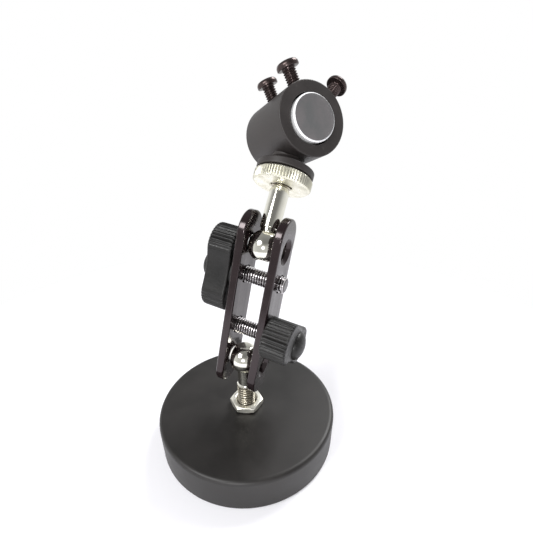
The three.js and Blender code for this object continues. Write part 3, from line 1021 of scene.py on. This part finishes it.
def make_knurled_nut():
    bore = M6_R + GAP
    lead = 0.4
    cut = KNURL_CUT
    inner = KNURL_R - cut - 0.1
    profile = [
        (bore, lead),
        (bore + lead, 0),
        (inner - 0.1, 0),
        (inner, 0.02),
        (KNURL_R - 0.2, cut - 0.1),
        (KNURL_R, cut + 0.12),
        (KNURL_R, KNURL_H - cut - 0.12),
        (KNURL_R - 0.2, KNURL_H - cut + 0.1),
        (inner, KNURL_H - 0.02),
        (inner - 0.1, KNURL_H),
        (bore + lead, KNURL_H),
        (bore, KNURL_H - lead),
    ]
    nut = turned(profile, KNURL_TEETH * KNURL_POINTS, ring=True, shape=knurl_shape)
    place(nut, moved(z=ROD_SHOULDER + KNURL_ABOVE_SHOULDER))
    piece("knurled_lock_nut", nut, nickel, "rod_nut", ROD, crease=30)


def saddle_row(radius):
    """A row on the hollow that the barrel rests in, in the head's frame."""
    row = []
    for i in range(ROUND):
        angle = TAU * i / ROUND
        x = radius * math.cos(angle)
        z = -math.sqrt((BARREL_R + GAP) ** 2 - x * x)
        row.append((x, radius * math.sin(angle), z))
    return row


def make_collar():
    start = KNURL_ABOVE_SHOULDER + KNURL_H + GAP - BARREL_ABOVE_SHOULDER
    rim_top = start + COLLAR_RIM_H
    bore = M6_R + GAP
    wall = rounded([
        (bore, start + 0.3),
        (bore + 0.3, start),
        (COLLAR_R, start, 0.35),
        (COLLAR_R, rim_top, 0.4),
        (COLLAR_CONE_R, rim_top, 0.25),
        (COLLAR_BOSS_R, -BARREL_R - COLLAR_BOSS_UNDER_BARREL, 0.35),
        (COLLAR_BOSS_R, -BARREL_R - GAP),
    ], HIGH_STEPS)
    rows = [circle(r, z, ROUND) for r, z in wall]
    rows.append([(x, y, z - FINE_CORNER) for x, y, z in saddle_row(COLLAR_BOSS_R)])
    for radius in (COLLAR_BOSS_R - FINE_CORNER, COLLAR_BOSS_R - 0.8, bore):
        rows.append(saddle_row(radius))
    piece("saddle_collar", skin(rows, ring=True), barrel_black, "head", HEAD)


# ---------- barrel, lens and what holds it ----------
LAID_DOWN = spun(x=90)  # a piece turned about Z with its front at +Z points its front along -Y
SCREWS = (
    ("front_left", SCREW_FRONT, SCREW_LEFT_ANGLE),
    ("rear_left", SCREW_REAR, SCREW_LEFT_ANGLE),
    ("front_right", SCREW_FRONT, SCREW_RIGHT_ANGLE),
    ("rear_right", SCREW_REAR, SCREW_RIGHT_ANGLE),
)


def screw_aim(along, angle):
    """Stands a screw's Z axis out of the barrel, at a place along it and an angle round it."""
    return moved(y=-along) @ spun(y=-angle)


def make_barrel():
    lead = 0.25
    rim = 0.45
    profile = rounded([
        (BARREL_BORE + lead, -BARREL_BACK, INNER_CORNER),
        (BARREL_R, -BARREL_BACK, rim),
        (BARREL_R, BARREL_FRONT, rim),
        (BARREL_BORE + lead, BARREL_FRONT, INNER_CORNER),
        (BARREL_BORE, BARREL_FRONT - lead),
        (BARREL_BORE, -BARREL_BACK + lead),
    ], HIGH_STEPS)
    tube = place(turned(profile, BARREL_SIDES, ring=True), LAID_DOWN)
    inside = BARREL_BORE - 2  # a cutter starts well inside the bore and ends well outside the wall
    outside = BARREL_R + 2
    screw_hole = SCREW_R + GAP
    countersink = screw_hole + 0.3
    cutters = []
    for _, along, angle in SCREWS:
        cutter = turned([
            (0, inside),
            (screw_hole, inside),
            (screw_hole, BARREL_R - 0.22),
            (countersink, BARREL_R + 0.1),
            (countersink, outside),
            (0, outside),
        ], SCREW_SIDES)
        cutters.append(place(cutter, screw_aim(along, angle)))
    rod_hole = M6_R + GAP
    cutters.append(turned([(0, -outside), (rod_hole, -outside), (rod_hole, -inside), (0, -inside)], SMALL))
    barrel = carved(tube, join_meshes(*cutters))
    piece("barrel", barrel, barrel_black, "head", HEAD, crease=32)


def make_lens():
    back = BARREL_FRONT - LENS_INSIDE
    front = BARREL_FRONT + LENS_PROUD
    crown = []
    for k in range(CROWN_STEPS - 2, 0, -1):
        share = k / CROWN_STEPS
        crown.append((LENS_R * share, front + LENS_CROWN * (1 - share**2)))
    profile = [
        (0, back),
        (LENS_R - LENS_CHAMFER, back),
        (LENS_R, back + LENS_CHAMFER),
        (LENS_R, front - LENS_CHAMFER),
        (LENS_R - LENS_CHAMFER, front),
        *crown,
        (0, front + LENS_CROWN),
    ]

    def paint(spot):
        depth = -spot.y
        if depth > front - FACE_MARGIN or depth < back + FACE_MARGIN:
            return 0
        return 2 if depth > front - LENS_CHAMFER else 1

    lens = place(turned(profile, ROUND), LAID_DOWN)
    glass = [glass_face, glass_edge, glass_rim]
    piece("lens", lens, glass, "head", HEAD, crease=20, paint=paint)


def inner_tube(low, high):
    """A thin turned tube inside the barrel."""
    profile = rounded([
        (SLEEVE_BORE, low, FINE_CORNER),
        (SLEEVE_R, low, CORNER),
        (SLEEVE_R, high, CORNER),
        (SLEEVE_BORE, high, FINE_CORNER),
    ])
    return place(turned(profile, ROUND, ring=True), LAID_DOWN)


def make_sleeve():
    sleeve = inner_tube(-SLEEVE_BACK, BARREL_FRONT - LENS_INSIDE - GAP)
    piece("lens_sleeve", sleeve, barrel_black, "head", HEAD)


def box(x, y, z):
    """A box centred on the origin, for cutting slots."""
    bm = bmesh.new()
    bmesh.ops.create_cube(bm, size=1.0)
    return place(bm, Matrix.Diagonal((x, y, z, 1)))


def make_retaining_ring():
    front = -SLEEVE_BACK - GAP
    slot = place(box(SLEEVE_R * 3, 2 * RING_SLOT_DEPTH, RING_SLOT_W), moved(y=-(front - RING_T)))
    ring = carved(inner_tube(front - RING_T, front), slot)
    piece("lens_retaining_ring", ring, barrel_black, "head", HEAD)


def cross_recess(top):
    """A crosshead recess: a plus that narrows on its way down."""
    reach = 1.5
    half = 0.34
    above = top + 0.5  # the cutter ends clear of the head

    def plus(scale, h, z):
        """A row round a plus whose arms are 2 * h wide."""
        a = reach * scale
        corners = [(a, h), (h, h), (h, a), (-h, a), (-h, h), (-a, h),
                   (-a, -h), (-h, -h), (-h, -a), (h, -a), (h, -h), (a, -h)]
        return [(x, y, z) for x, y in corners]

    return skin([
        [(0, 0, top - 1.25)],
        plus(0.3, 0.12, top - 1.1),
        plus(1.0, half, top - 0.05),
        plus(1.15, half, above),
        [(0, 0, above)],
    ])


def make_screw(name, along, angle):
    tip = SLEEVE_R + GAP
    seat = BARREL_R + SCREW_SHANK_OUT
    top = seat + SCREW_HEAD_H
    thread = (tip + 0.25, seat - 0.1)
    profile = [
        (0, tip),
        (SCREW_R - 0.35, tip),
        *thread_rows(SCREW_R, SCREW_PITCH, *thread),
        (SCREW_R, seat),
    ]
    profile += rounded([
        (SCREW_R + 0.1, seat),
        (SCREW_HEAD_R, seat, 0.25),
        (SCREW_HEAD_R, seat + SCREW_HEAD_H * 0.45, 0.25),
        (SCREW_HEAD_R * 0.86, seat + SCREW_HEAD_H * 0.82, 0.5),
        (SCREW_HEAD_R * 0.4, top - 0.04, 0.5),
        (0, top),
    ], HIGH_STEPS)
    shape = thread_shape(SCREW_R, SCREW_PITCH, *thread, SCREW_THREAD_DEPTH)
    screw = carved(turned(profile, SCREW_SIDES, shape=shape), cross_recess(top))
    at = HEAD @ screw_aim(along * MM, angle)
    piece("clamp_screw_" + name, screw, screw_black, "screw_" + name, at, crease=32)


# ---------- camera, floor and light ----------
def make_camera():
    data = bpy.data.cameras.new("camera")
    data.lens = CAMERA_LENS
    data.sensor_width = CAMERA_SENSOR
    camera = bpy.data.objects.new("camera", data)
    turn = spun(z=CAMERA_PAN) @ spun(x=CAMERA_TILT) @ spun(y=CAMERA_ROLL) @ spun(x=90)
    camera.matrix_world = moved(*[c * MM for c in CAMERA_PLACE]) @ turn
    data.clip_start = 0.01
    data.clip_end = 20.0
    bpy.context.scene.collection.objects.link(camera)
    bpy.context.scene.camera = camera


def make_floor():
    bm = bmesh.new()
    bm.faces.new([bm.verts.new(point) for point in circle(FLOOR_REACH, 0, ROUND)])
    place(bm, Matrix.Scale(MM, 4))
    floor = to_object("floor", bm)
    n = Nodes("floor_pale")
    shade = n.mix(n.noise(3.0), (0.85, 0.845, 0.885), (0.87, 0.865, 0.9))
    n.shader.inputs["Emission Color"].default_value = WHITE
    pale = n.finish(shade, 0.7, Specular_IOR_Level=0.2, Emission_Strength=FLOOR_GLOW)
    floor.data.materials.append(pale)


def aim(direction):
    """A turn that points a lamp's -Z axis along a direction."""
    return direction.to_track_quat("-Z", "Y").to_matrix().to_4x4()


def make_area(name, place_mm, size, power):
    """A round area lamp that shines on the middle of the object."""
    data = bpy.data.lights.new(name, "AREA")
    data.shape = "DISK"
    data.size = size * MM
    data.energy = power
    lamp = bpy.data.objects.new(name, data)
    here = Vector(place_mm) * MM
    there = Vector(LIT_POINT) * MM
    lamp.matrix_world = Matrix.Translation(here) @ aim(there - here)
    bpy.context.scene.collection.objects.link(lamp)


def make_world():
    """A pale studio: dimmer in front of the object and overhead, and plain white to the camera."""
    world = bpy.data.worlds.new("studio")
    bpy.context.scene.world = world
    world.use_nodes = True
    tree = world.node_tree
    add = tree.nodes.new
    link = tree.links.new
    split = add("ShaderNodeSeparateXYZ")
    link(add("ShaderNodeTexCoord").outputs["Generated"], split.inputs[0])

    def fade(axis, start, end, low, high):
        """Brightness low to high as the direction's part along an axis goes from start to end."""
        ramp = add("ShaderNodeMapRange")
        ramp.interpolation_type = "SMOOTHSTEP"
        for socket, value in (("From Min", start), ("From Max", end), ("To Min", low), ("To Max", high)):
            ramp.inputs[socket].default_value = value
        link(split.outputs[axis], ramp.inputs["Value"])
        return ramp.outputs["Result"]

    def combine(operation, first, second):
        node = add("ShaderNodeMath")
        node.operation = operation
        link(first, node.inputs[0])
        link(second, node.inputs[1])
        return node.outputs[0]

    depth = fade("Y", *WORLD_DEPTH)
    height = fade("Z", *WORLD_HEIGHT)
    seen = add("ShaderNodeLightPath").outputs["Is Camera Ray"]
    strength = combine("MAXIMUM", combine("MULTIPLY", depth, height), seen)
    link(strength, tree.nodes["Background"].inputs["Strength"])
    tree.nodes["Background"].inputs["Color"].default_value = WHITE


def make_sun():
    data = bpy.data.lights.new("key", "SUN")
    data.energy = SUN_STRENGTH
    data.angle = math.radians(SUN_ANGLE)
    lamp = bpy.data.objects.new("key", data)
    lamp.matrix_world = aim(-Vector(SUN_PLACE))
    bpy.context.scene.collection.objects.link(lamp)


def make_lights():
    make_sun()
    make_area("window", WINDOW_PLACE, WINDOW_SIZE, WINDOW_POWER)
    make_area("front", FRONT_PLACE, FRONT_SIZE, FRONT_POWER)


# ---------- build ----------
make_camera()
make_floor()
make_world()
make_lights()

make_base()
make_pad()
make_hex_nut()
make_lower_stud()
make_plate(-1)
make_plate(1)
make_bolt("upper_clamp_bolt", "upper_knob_body", -1, UPPER_BOLT, UPPER_BOLT_PROUD)
make_bolt("lower_clamp_bolt", "lower_knob_body", 1, LOWER_BOLT, LOWER_BOLT_PROUD)
make_knob("upper_knob", "upper_knob_body", -1, UPPER_BOLT, UPPER_KNOB_TURN)
make_knob("lower_knob", "lower_knob_body", 1, LOWER_BOLT, LOWER_KNOB_TURN)
make_upper_rod()
make_knurled_nut()
make_collar()
make_barrel()
make_lens()
make_sleeve()
make_retaining_ring()
for screw_name, screw_along, screw_angle in SCREWS:
    make_screw(screw_name, screw_along, screw_angle)

bpy.context.scene.view_settings.view_transform = "Standard"
